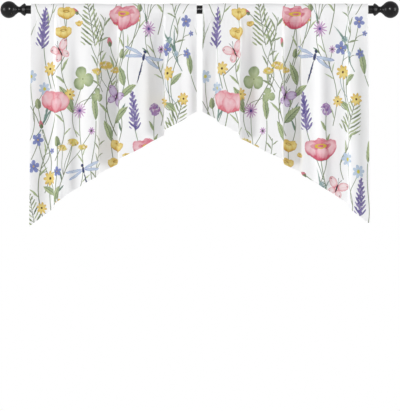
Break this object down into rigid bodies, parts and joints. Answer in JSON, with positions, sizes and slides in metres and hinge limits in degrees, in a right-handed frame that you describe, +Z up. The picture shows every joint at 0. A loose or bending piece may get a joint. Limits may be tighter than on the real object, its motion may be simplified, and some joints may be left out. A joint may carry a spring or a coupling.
{
  "type": "pair of cafe curtains on a pole",
  "caption": "Swag-cut cafe curtains with slanting hems, gathered by a rod pocket on a straight round pole with ball ends.",
  "frame": {"origin": "on the pole's axis, midway between the two curtains", "axes": "+X along the pole towards the right end seen from the room, +Z up, -Y towards the room and +Y towards the window"},
  "size_m": [1.634, 0.07, 0.9243],
  "materials": {
    "black_paint": "satin black paint",
    "printed_cloth": "thin plain-woven polyester, white with a printed wildflower pattern"
  },
  "bodies": {
    "root": {"pole": "black_paint", "finial_left": "black_paint", "finial_right": "black_paint", "curtain_left": "printed_cloth", "curtain_right": "printed_cloth"}
  },
  "joints": []
}
